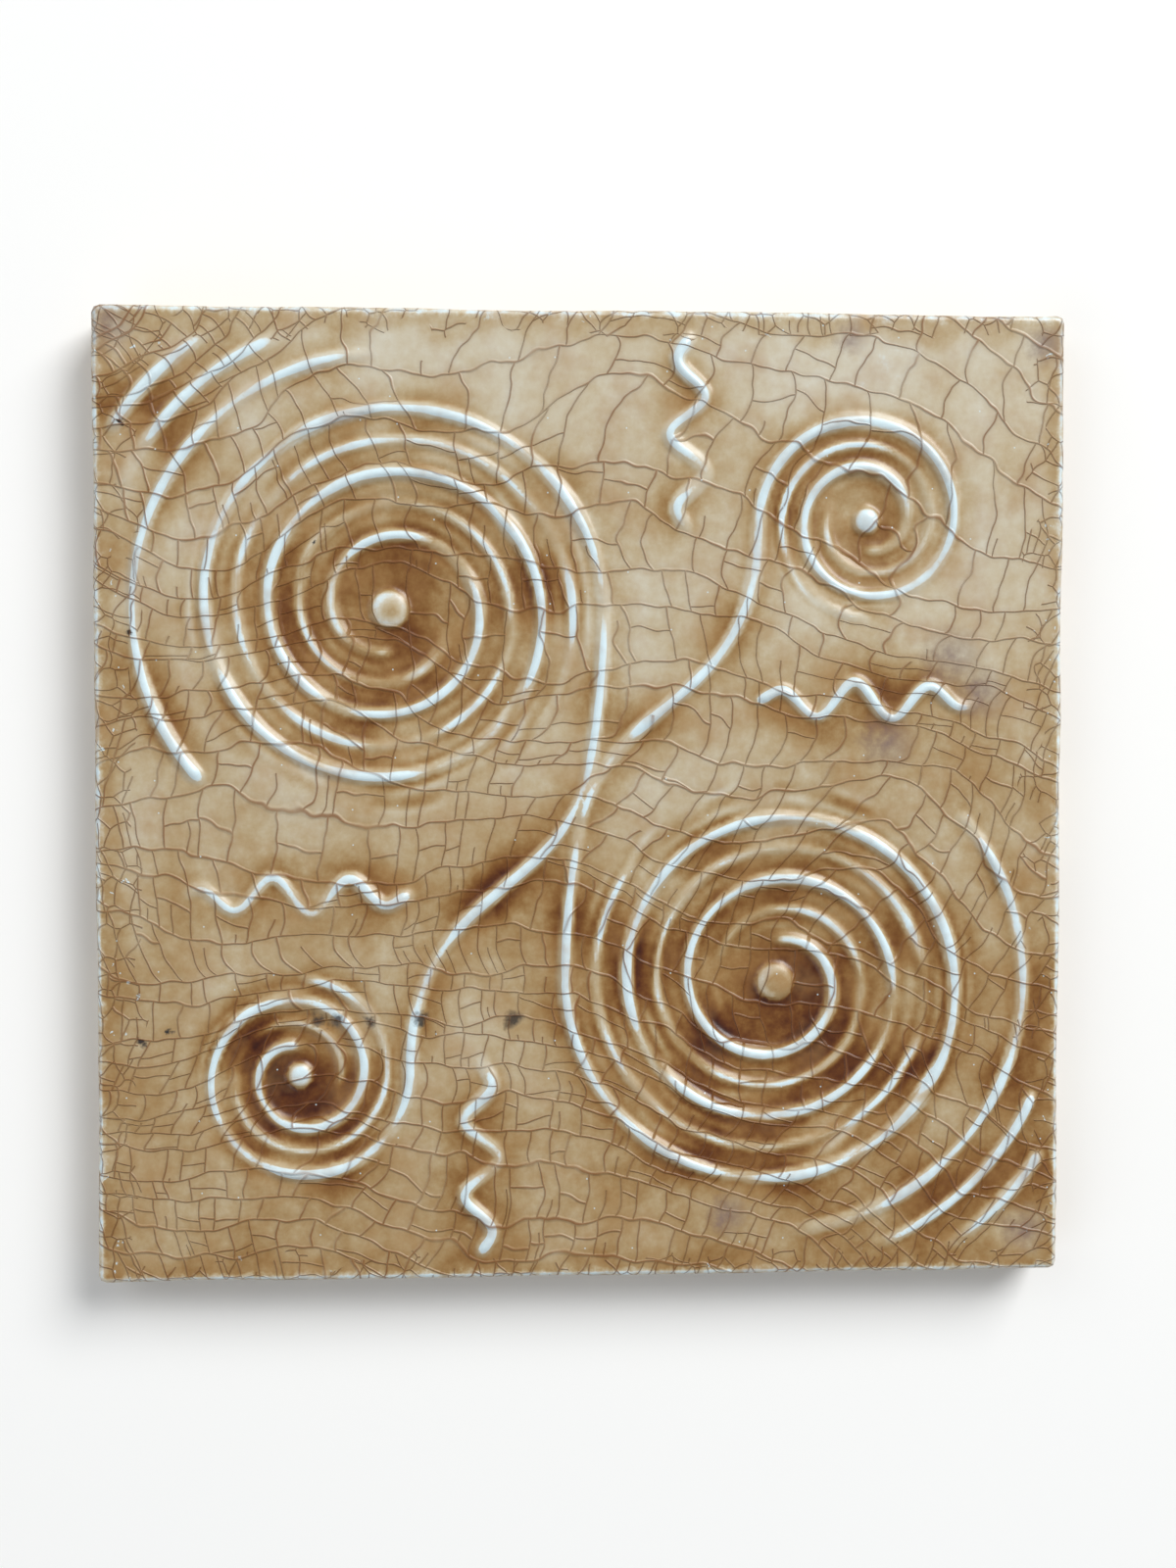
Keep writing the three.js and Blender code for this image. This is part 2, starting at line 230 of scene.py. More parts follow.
def wobble(place, size, seed):
    """Smooth chance: ten sine waves of about the given length in random directions, about -1 to 1."""
    chance = np.random.default_rng(seed)
    total = 0
    for _ in range(10):
        direction = np.exp(1j * chance.uniform(0, 2 * np.pi))
        length = size / chance.uniform(0.6, 1.6)
        total = total + np.sin(2 * np.pi / length * (place * direction).real + chance.uniform(0, 2 * np.pi))
    return total / math.sqrt(10)


sunk = np.zeros_like(X)
beads = np.zeros_like(X)
for middle, bowl_radius, depth, bead_radius in BOWLS:
    for centre in (middle, -middle):
        away = np.abs(face - centre)
        bowl = depth * (1 + np.cos(np.pi * np.clip(away / bowl_radius, 0, 1))) / 2
        sunk = np.maximum(sunk, bowl)
        beads = np.maximum(beads, BEAD_HEIGHT * np.sqrt(np.clip(1 - (away / bead_radius) ** 2, 0, 1)))
print(f"grid {len(axis)} x {len(axis)}, bowls to {sunk.max():.1f} mm")

# %% [markdown]
# ## Lines drawn with a round tool
#
# The real lines were cut into the mould with a round-tipped tool, so they stand up as soft banks. A bevelled
# curve would give them, but it would need joining to the face. Here each line is the upper envelope of many
# round stamps set along its path, which also makes clean crossings. A hand doesn't press evenly, so the
# height and the width wander along the line.

# %% Stamp the lines
STAMP_STEP, STAMP_WINDOW = 0.1, 4
LINE_FOOT, LINE_CREST, LINE_LOW = 3.0, 0.2, 0.35
FAINT_HEIGHT, FAINT_FOOT, FAINT_CREST, FAINT_LOW = 0.5, 2.5, 0.2, 0.25
HEIGHT_SWAY, WIDTH_SWAY, WIDTH_SWING = 24, 26, 0.14
FAINT_SEED, WIDTH_SEED = 50, 300


def stamp(relief, line, tips, height, foot, crest, low, seed):
    """Raises relief to the highest of round banks h (1 - smooth(crest/2, foot/2, distance)) along a line.
    The height h wanders between low and 1 times the line's and dies away over the tips, and the width
    wanders too. Only the grid points within a small window round each stamp are worked out."""
    length = np.concatenate([[0], np.cumsum(np.abs(np.diff(line)))])
    at = np.arange(0, length[-1], STAMP_STEP)
    points = np.interp(at, length, line.real) + 1j * np.interp(at, length, line.imag)
    wander = low + (1 - low) * np.clip(0.65 + 0.6 * wobble(points, HEIGHT_SWAY, seed), 0, 1)
    tall = height * wander * np.sqrt(smooth(0, tips[0], at) * smooth(0, tips[1], length[-1] - at))
    width = 1 + WIDTH_SWING * wobble(points, WIDTH_SWAY, seed + WIDTH_SEED)
    window = np.arange(-STAMP_WINDOW, STAMP_WINDOW + 1)
    columns = np.clip(np.searchsorted(axis, points.real)[:, None] + window, 0, len(axis) - 1)[:, None, :]
    rows = np.clip(np.searchsorted(axis, points.imag)[:, None] + window, 0, len(axis) - 1)[:, :, None]
    away = np.abs(axis[columns] + 1j * axis[rows] - points[:, None, None])
    bank = tall[:, None, None] * (1 - smooth(crest / 2, foot / 2, away / width[:, None, None]))
    np.maximum.at(relief, (rows, columns), bank)


relief = np.zeros_like(X)
for seed, (line, tips) in enumerate(bold_lines):
    stamp(relief, line, tips, LINE_HEIGHT, LINE_FOOT, LINE_CREST, LINE_LOW, seed)
for seed, (line, tips) in enumerate(faint_lines):
    stamp(relief, line, tips, FAINT_HEIGHT, FAINT_FOOT, FAINT_CREST, FAINT_LOW, FAINT_SEED + seed)
print(f"relief to {relief.max():.2f} mm")

# %% [markdown]
# ## How deep the glaze lies
#
# Molten glaze levels itself: it drains off what stands up and fills what is low. A fluid simulation would
# show that, but three blurs of the height are enough. A place higher than its near surroundings has shed
# glaze, a lower one has caught it, and the widest blur finds the bowls. The blur is a matrix of Gaussian
# weights applied to the rows and to the columns, which also works where the grid is uneven. The tile stood
# upright in the kiln, so glaze also crept downwards.
#
# Between the lines the tool left faint streaks, and the glaze lies in veins along them. Three numbers go on
# each point: how far it stands up, the even glaze and the caught glaze. The material joins them, because a
# colour that turns from white to brown within half a millimetre is smoother worked out for each pixel.

# %% Streaks between the lines, and the height of the face
STREAK_HEIGHT = 0.13
UNDULATION = 0.05
EYE_MARGIN = 3
streak_share = np.clip(0.5 + 0.6 * wobble(face, 25, 80), 0, 1)
vein_bend = 2.5 * wobble(face, 26, 81)
vein_share = np.clip(wobble(face, 15, 82), 0, 1.5)

streaks = np.zeros_like(X)
veins = np.zeros_like(X)
for middle, radius, eye, turns, hand, end_angle in ((*large_shape, 0), (*small_shape, np.pi)):
    for side in (1, -1):
        away = np.abs(face * side - middle)
        line_angle = end_angle + hand * 2 * np.pi * turns * (1 - (away - eye) / (radius - eye))
        phase = (np.angle(face * side - middle) - line_angle) / (2 * np.pi)
        inside = smooth(eye, eye + EYE_MARGIN, away) * smooth(radius, radius - EYE_MARGIN, away)
        ridge = np.sin(2 * np.pi * phase) ** 8 * inside
        streaks = np.maximum(streaks, STREAK_HEIGHT * ridge * streak_share)
        veins += np.sin(6 * np.pi * phase + vein_bend) * vein_share * inside
ground = FIELD - sunk + UNDULATION * (wobble(face, 45, 90) - 1)
height = np.minimum(ground + np.maximum(relief, beads) + streaks, cad_high.z / MM)
print(f"face from {height.min():.2f} to {height.max():.2f} mm over the back")

# %% Let the glaze settle
SHED_REACH, POOL_REACH, BASIN_REACH = 1.0, 2.4, 7.0
POOL, BASIN, EDGE_BAND, VEINS = 7.6, 0.9, 0.32, 0.45

# Depths of glaze count in a unit of their own, which the glaze's colour is given for
COAT, DOWNWARDS, SIDEWAYS = 0.96, 0.27, 0.01
SOAKED_IN, SUNK_GAIN = 0.22, 0.33
BAND_START, BAND_FULL = 5.5, 2.5


def blur(field, reach):
    """Weighted mean of a field, with weights exp(-(distance / reach)^2 / 2) times the spacing of the grid."""
    weights = np.exp(-(((axis[:, None] - axis) / reach) ** 2) / 2) * np.gradient(axis)
    weights /= weights.sum(1, keepdims=True)
    return weights @ field @ weights.T


edge_distance = HALF - np.maximum(np.abs(X), np.abs(Y))
creep = COAT - DOWNWARDS * Y / HALF - SIDEWAYS * X / HALF
creep = creep + 0.12 * wobble(face, 60, 91) + 0.06 * wobble(face, 14, 92)
stands_up = height - blur(height, SHED_REACH)
pool_share = np.clip(0.65 + 0.5 * wobble(face, 20, 89), 0.1, 1.5)
pool = POOL * np.clip(blur(height, POOL_REACH) - height, 0, 1) * pool_share
basin = BASIN * np.clip(blur(height, BASIN_REACH) - height, -0.2, 2)
edge_band = EDGE_BAND * smooth(BAND_START, BAND_FULL, edge_distance + 1.2 * wobble(face, 11, 93))
even_glaze = (creep - SOAKED_IN) * (1 + SUNK_GAIN * sunk)
caught_glaze = creep**2 * (pool + basin + VEINS * veins) + edge_band
print(f"even glaze {np.median(even_glaze):.2f}, caught glaze to {caught_glaze.max():.2f}")

# %% [markdown]
# ## Edge and sides as rings
#
# Round the face run closed rings of points: over the rounded arris, down the glazed part of the side to the
# wavy line where the glaze ends in a small step, down the bare clay, and round under the back. Each ring is
# the square of the grid's rim pushed outwards by an amount and set at a height, so a profile of a few
# numbers gives the whole edge. The arris is worn, and the sides are a little hollow here and there, as hand
# work leaves them. The length of the profile down to each ring says where the side would lie if it were
# folded up level with the face, so that the crazing can run on down it without stretching.

# %% The rim of the grid, and how it is worn
CORNER_RADIUS = 1.2
GLAZE_LINE, GLAZE_LINE_SWING, GLAZE_STEP = 5.2, 0.9, 0.14


def rim_of(grid):
    """The outermost numbers of a grid in order round it, from its first corner along its first row."""
    return np.concatenate([grid[0, :-1], grid[:-1, -1], grid[-1, :0:-1], grid[:0:-1, 0]])


count = len(axis)
numbers = np.arange(count * count).reshape(count, count)
rim = rim_of(numbers)
rim_point = face.ravel()[rim]
corner = np.clip(rim_point.real, -HALF + CORNER_RADIUS, HALF - CORNER_RADIUS)
corner = corner + 1j * np.clip(rim_point.imag, -HALF + CORNER_RADIUS, HALF - CORNER_RADIUS)
outward = (rim_point - corner) / np.abs(rim_point - corner)
rounded = corner + outward * (CORNER_RADIUS - ARRIS)
wear = 0.05 * np.clip(wobble(rounded, 4, 94), 0, 2)
hollow = 0.14 * np.clip(0.3 + wobble(rounded, 38, 100), 0, 1.6)
hollow = hollow + 0.05 * np.clip(wobble(rounded, 7, 101), 0, 2)
glaze_end = GLAZE_LINE + GLAZE_LINE_SWING * wobble(rounded, 16, 95)
glaze_end = glaze_end - 0.5 * smooth(0.8, 1.6, wobble(rounded, 9, 96))
print(f"worn by {wear.max():.2f} mm, hollow by {hollow.max():.2f} mm, glaze ends {glaze_end.min():.1f} mm up")

# %% Build the rings
ARRIS_STEPS, FOOT_STEPS = 5, 3
FOOT_RADIUS = 1.0
BARE_TOP = 1.6

# Each ring is how far out it lies, its height and its glaze
rings = []
thin = 0.45 + 0.12 * wobble(rounded, 3, 97)
for step in range(1, ARRIS_STEPS + 1):
    angle = np.pi / 2 * step / ARRIS_STEPS
    bite = wear * math.sin(2 * angle)
    level = FIELD - ARRIS * (1 - math.cos(angle)) + (height.ravel()[rim] - FIELD) * math.cos(angle)
    rings.append(((ARRIS - hollow) * math.sin(angle) - bite, level - bite, thin))
rings.append((ARRIS - hollow, (FIELD - ARRIS + glaze_end) / 2, 0.9 + 0.2 * wobble(rounded, 5, 98)))
rings.append((ARRIS - 0.5 * hollow, glaze_end + 0.5, 1.2 + 0.2 * wobble(rounded, 5, 99)))
rings.append((ARRIS - 0.05 - 0.4 * hollow, glaze_end + 0.12, 1.4))
rings.append((ARRIS - GLAZE_STEP, glaze_end, 0.5))
rings.append((ARRIS - GLAZE_STEP, BARE_TOP, 0))
for step in range(1, FOOT_STEPS + 1):
    angle = np.pi / 2 * step / FOOT_STEPS
    rings.append(((ARRIS - GLAZE_STEP) * math.cos(angle), FOOT_RADIUS * (1 - math.sin(angle)), 0))
glazed_strips = len(rings) - FOOT_STEPS - 1
ring_points = [rounded + outward * out for out, _, _ in rings]

runs = []
run, out_before, level_before = 0, 0, height.ravel()[rim]
for out, level, _ in rings:
    run = run + np.hypot(out - out_before, level - level_before)
    out_before, level_before = out, level
    runs.append(run)
print(len(rings), "rings of", len(rim), f"points, {np.median(run):.1f} mm down the side")

# %% [markdown]
# ## The back with its keying grooves
#
# The back is plain clay with ten shallow grooves, pressed so that the bed of adhesive keys into them. Cutting
# them out with a Boolean would work, but the back is a height over a grid too, coarser than the face. Its
# columns lie where the section of a groove bends and along its middle. Rows lie where its ends bend, and a
# few more between them keep the squares short.

# %% Build the back
KEYS, KEY_DEPTH, KEY_WIDTH, KEY_FLOOR_WIDTH, KEY_RIB, KEY_RIM = 10, 1.0, 8, 7, 5, 9
KEY_LIP = 0.35
BACK_INSET = 1.2
LAST_ROW, ROWS_BETWEEN = 55, 12
back_half = HALF - ARRIS - BACK_INSET
key_end = HALF - KEY_RIM
floor_end = key_end - (KEY_WIDTH - KEY_FLOOR_WIDTH) / 2
key_centres = (np.arange(KEYS) - (KEYS - 1) / 2) * (KEY_WIDTH + KEY_RIB)
half_key, half_floor = KEY_WIDTH / 2, KEY_FLOOR_WIDTH / 2
key_bends = np.array([half_key + KEY_LIP, half_key, half_floor, half_floor - KEY_LIP])
key_section = np.concatenate([-key_bends, [0], key_bends[::-1]])
key_stops = np.array([key_end + KEY_LIP, key_end, floor_end, floor_end - KEY_LIP])
rows_between = np.linspace(-LAST_ROW, LAST_ROW, ROWS_BETWEEN)
back_x = np.unique(np.concatenate([[-back_half, back_half], (key_centres[:, None] + key_section).ravel()]))
back_y = np.unique(np.concatenate([[-back_half, back_half], key_stops, -key_stops, rows_between]))
back_X, back_Y = np.meshgrid(back_x, back_y)
from_key = np.abs(back_X[..., None] - key_centres).min(-1)
across = 1 - smooth(half_floor - KEY_LIP, half_key + KEY_LIP, from_key)
lengthwise = 1 - smooth(floor_end - KEY_LIP, key_end + KEY_LIP, np.abs(back_Y))
back_Z = KEY_DEPTH * across * lengthwise
print("back grid", back_X.shape, "grooves", len(key_centres))

# %% [markdown]
# ## Cracks that keep right angles
#
# Glaze shrinks more than clay, so it cracks along the pull and then across it: long cracks first, short
# ones between them at right angles. A Voronoi texture makes cells with corners of three equal angles, which
# look like dried mud. A complex function keeps right angles instead. Sums of logarithms of the distance to
# a few places off the tile give one number that grows across the long cracks and one that grows along
# them. Both go on the mesh, and the material later draws cracks where they pass certain values. At the worn
# edges a finer crazing lies over it, so each point also gets its distance to the arris and a share that says
# where the fine crazing is.

# %% Work out the crack field and where the edges are worn
CRACK_PULLS = [(460, -52 - 300j), (178, -104 + 99j), (-158, -92 + 85j)]
FINE_REACH = {(-1, 0): 6.0, (0, 1): 3.5, (1, 0): 4.5, (0, -1): 2.5}
FINE_CORNER, FINE_CORNER_REACH = -75 + 75j, 13
SIDE_STRETCH = 2.5
WIDE_BEND, SMALL_BEND = 3.5, 0.3


def crack_field(place):
    """Sum of pull * log(1 - z / centre), and the millimetres for one unit of it: 1 over its slope's size.
    The place is bent a little first, so that no crack runs as true as the formula."""
    bent_place = place + WIDE_BEND * (wobble(place, 60, 1) + 1j * wobble(place, 60, 2))
    bent_place = bent_place + SMALL_BEND * (wobble(place, 12, 5) + 1j * wobble(place, 12, 6))
    flow = sum(pull * np.log(1 - bent_place / centre) for pull, centre in CRACK_PULLS)
    slope = sum(pull / (bent_place - centre) for pull, centre in CRACK_PULLS)
    usual = abs(sum(pull / centre for pull, centre in CRACK_PULLS))
    return np.column_stack([flow.real / usual, flow.imag / usual, usual / np.abs(slope)])


def edge_field(place, level):
    """Distance to the arris, counted longer down the side, a share that passes 0.5 where the fine crazing
    begins, and a spare zero, because an attribute of a vector has three numbers."""
    from_side = HALF - np.maximum(np.abs(place.real), np.abs(place.imag))
    inside = np.full(place.shape, -9.0)
    for (x, y), reach in FINE_REACH.items():
        inside = np.maximum(inside, reach - HALF + x * place.real + y * place.imag)
    inside = np.maximum(inside, FINE_CORNER_REACH - np.abs(place - FINE_CORNER))
    inside = inside + 1.6 * wobble(place, 13, 7)
    from_arris = np.hypot(from_side, SIDE_STRETCH * (FIELD - level))
    return np.column_stack([from_arris, smooth(-2, 2, inside), np.zeros(len(place))])


print(len(CRACK_PULLS), "places pull, and fine crazing reaches in", *FINE_REACH.values(), "mm")

# %% [markdown]
# ## One closed mesh
#
# Face, rings and back are joined into one mesh without a seam. Face and back have different numbers of
# points along their rims, so the last strip is a zip of triangles. Blender cuts a face of four corners from
# its first corner to its third. On the steep flank of a line the other cut can look like a flight of steps,
# so each face starts at the corner that lets the cut run along the line.

# %% Helpers that join points into faces
def squares(grid):
    """The four corners of each cell of a grid of numbers, in order round it."""
    return np.stack([grid[:-1, :-1], grid[:-1, 1:], grid[1:, 1:], grid[1:, :-1]], -1).reshape(-1, 4)


def zipper(outer, inner, outer_share, inner_share):
    """Triangles between two closed loops: each edge takes the other loop's point that is level with it."""
    outer_middle = (outer_share + np.append(outer_share[1:], 4)) / 2
    inner_middle = (inner_share + np.append(inner_share[1:], 4)) / 2
    level_inner = inner[np.searchsorted(inner_middle, outer_middle) % len(inner)]
    level_outer = outer[np.searchsorted(outer_middle, inner_middle) % len(outer)]
    return np.concatenate([
        np.column_stack([outer, level_inner, np.roll(outer, -1)]),
        np.column_stack([level_outer, inner, np.roll(inner, -1)]),
    ])


def loop_share(x, y):
    """How far round the square each rim point of a grid lies: the side's number plus a share of it."""
    along_x, along_y = ((line - line[0]) / (line[-1] - line[0]) for line in (x, y))
    return np.concatenate([along_x[:-1], 1 + along_y[:-1], 3 - along_x[:0:-1], 4 - along_y[:0:-1]])


loops = [rim] + [count * count + len(rim) * number + np.arange(len(rim)) for number in range(len(rings))]
back_numbers = loops[-1][-1] + 1 + np.arange(back_X.size).reshape(back_X.shape)
face_squares = squares(numbers)
corners = height.ravel()[face_squares]
across_line = np.abs(corners[:, 0] - corners[:, 2]) > np.abs(corners[:, 1] - corners[:, 3])
face_squares[across_line] = np.roll(face_squares[across_line], -1, axis=1)
strips = [
    np.column_stack([upper, lower, np.roll(lower, -1), np.roll(upper, -1)])
    for upper, lower in zip(loops, loops[1:])
]
glazed_faces = len(face_squares) + glazed_strips * len(rim)

# The back looks down, so its squares are turned over
back_squares = np.roll(squares(back_numbers)[:, ::-1], 1, axis=1)
quads = np.concatenate([face_squares, *strips, back_squares])
triangles = zipper(loops[-1], rim_of(back_numbers), loop_share(axis, axis), loop_share(back_x, back_y))
print(len(quads), "squares,", len(triangles), "triangles in the zip,", glazed_faces, "glazed faces")

# %% Gather the points and their glaze
flat = face.ravel().copy()
flat[rim] = rounded
back_points = (back_X + 1j * back_Y).ravel()
place = np.concatenate([flat, *ring_points, back_points])
unrolled = np.concatenate([flat, *[rounded + outward * run for run in runs], back_points])
levels = [np.broadcast_to(level, len(rim)) for _, level, _ in rings]
level = np.concatenate([height.ravel(), *levels, back_Z.ravel()])
side_glaze = [np.broadcast_to(np.clip(thin, 0, 3), len(rim)) for _, _, thin in rings]
even_glaze = np.concatenate([even_glaze.ravel(), *side_glaze, np.zeros(back_X.size)])
face_only = np.zeros((2, len(even_glaze)))
face_only[:, :face.size] = stands_up.ravel(), caught_glaze.ravel()
print(len(place), "points, glaze on the sides to", round(float(even_glaze[face.size:].max()), 2))

# %% Make the mesh
mesh = bpy.data.meshes.new("glazed_tile")
points = np.column_stack([place.real, place.imag, level]) * MM
mesh.from_pydata(points, [], quads.tolist() + triangles.tolist())
mesh.shade_smooth()
material_numbers = (np.arange(len(quads) + len(triangles)) >= glazed_faces).astype(np.int32)
mesh.polygons.foreach_set("material_index", material_numbers)
vectors = {
    "glaze": np.column_stack([face_only[0], even_glaze, face_only[1]]),
    "unrolled": np.column_stack([unrolled.real, unrolled.imag, np.zeros(len(unrolled))]) * MM,
    "crack_field": crack_field(unrolled),
    "edges": edge_field(place, level),
}
for name, values in vectors.items():
    mesh.attributes.new(name, "FLOAT_VECTOR", "POINT").data.foreach_set("vector", values.ravel())
glazed_tile = bpy.data.objects.new("glazed_tile", mesh)
bpy.context.collection.objects.link(glazed_tile)
triangle_count = 2 * len(quads) + len(triangles)
print(len(mesh.vertices), "points,", triangle_count, "triangles, valid:", not mesh.validate())

# %% [markdown]
# ## Materials: helpers
#
# Colours are picked as sRGB hex values and turned to the linear values that Blender renders with. One
# function adds a node, sets it up and links it.

# %% Helpers for materials
def colour(text):
    """An sRGB hex colour as linear red, green, blue and full alpha."""
    srgb = np.array([int(text[start:start + 2], 16) for start in (1, 3, 5)]) / 255
    linear = np.where(srgb <= 0.04045, srgb / 12.92, ((srgb + 0.055) / 1.055) ** 2.4)
    return (*linear.tolist(), 1.0)


def add(tree, kind, inputs, **settings):
    """Adds a node, sets its properties, links or sets its inputs by name or number, returns its outputs."""
    node = tree.nodes.new("ShaderNode" + kind)
    for name, value in settings.items():
        setattr(node, name, value)
    for slot, value in inputs.items() if isinstance(inputs, dict) else enumerate(inputs):
        if isinstance(value, bpy.types.NodeSocket):
            tree.links.new(value, node.inputs[slot])
        else:
            node.inputs[slot].default_value = value
    return node.outputs


def new_material(name):
    """An empty node material and its tree."""
    material = bpy.data.materials.new(name)
    material.use_nodes = True
    material.node_tree.nodes.clear()
    return material, material.node_tree


print("sRGB #808080 as linear red, green, blue and alpha", np.round(colour("#808080"), 3))

# %% [markdown]
# ## The net of cracks
#
# Along a number that grows evenly, cracks sit near each whole value, pushed to and fro by chance. White
# noise of the whole value gives that chance, the same every time. Done once, this makes the long cracks and
# numbers the bands between them. Done again along each band, with the band's number in the chance, it makes
# cross cracks that stop at the long ones. Two more dice for each cell add a splitting crack and a dead end.

# %% Nodes that find the nearest crack
LONG_SPACING, CROSS_SPACING, FINE_SPACING = 5.7, 5.1, 3.4
LONG_SPREAD, CROSS_SPREAD, WANDER_WIDTH = 0.55, 0.6, 0.9
SPLIT_SHARE, DEAD_END_SHARE = 0.38, 0.22
FAR = 9.0
FLAT = {"noise_dimensions": "2D"}
print(f"cracks {LONG_SPACING} by {CROSS_SPACING} mm apart in the middle, {FINE_SPACING} mm at the edges")


def jittered_lines(tree, position, row, salt, spread, drift=None):
    """Distance to the nearer of the two lines round a position, and the number of the cell that it is in.
    Where a drift is given, each line also wanders to and fro along it."""
    step = add(tree, "Math", [position], operation="FLOOR")[0]
    following = add(tree, "Math", [step, 1.0], operation="ADD")[0]
    lines, gaps = [], []
    for number in (step, following):
        key = add(tree, "CombineXYZ", [number, row, salt])[0]
        chance = add(tree, "TexWhiteNoise", {"Vector": key}, noise_dimensions="3D")[0]
        shift = add(tree, "Math", [chance, spread, -spread / 2], operation="MULTIPLY_ADD")[0]
        if drift:
            spread_out = add(tree, "Math", [number, 5.37], operation="MULTIPLY")[0]
            key = add(tree, "CombineXYZ", [drift, spread_out, 0.0])[0]
            wander = add(tree, "TexNoise", {"Vector": key, "Scale": 1.0, "Detail": 1.0}, **FLAT)[0]
            wander = add(tree, "Math", [wander, 0.5], operation="SUBTRACT")[0]
            shift = add(tree, "Math", [wander, WANDER_WIDTH, shift], operation="MULTIPLY_ADD")[0]
        lines.append(add(tree, "Math", [number, shift], operation="ADD")[0])
        gap = add(tree, "Math", [position, lines[-1]], operation="SUBTRACT")[0]
        gaps.append(add(tree, "Math", [gap], operation="ABSOLUTE")[0])
    nearest = add(tree, "Math", gaps, operation="MINIMUM")[0]
    before = add(tree, "Math", [position, lines[0]], operation="LESS_THAN")[0]
    beyond = add(tree, "Math", [position, lines[1]], operation="GREATER_THAN")[0]
    cell = add(tree, "Math", [step, before], operation="SUBTRACT")[0]
    return nearest, add(tree, "Math", [cell, beyond], operation="ADD")[0]


def dice(tree, band, cell, salt):
    """Three chances from 0 to 1 for one cell."""
    key = add(tree, "CombineXYZ", [band, cell, salt])[0]
    chance = add(tree, "TexWhiteNoise", {"Vector": key}, noise_dimensions="3D")[1]
    return add(tree, "SeparateColor", [chance])


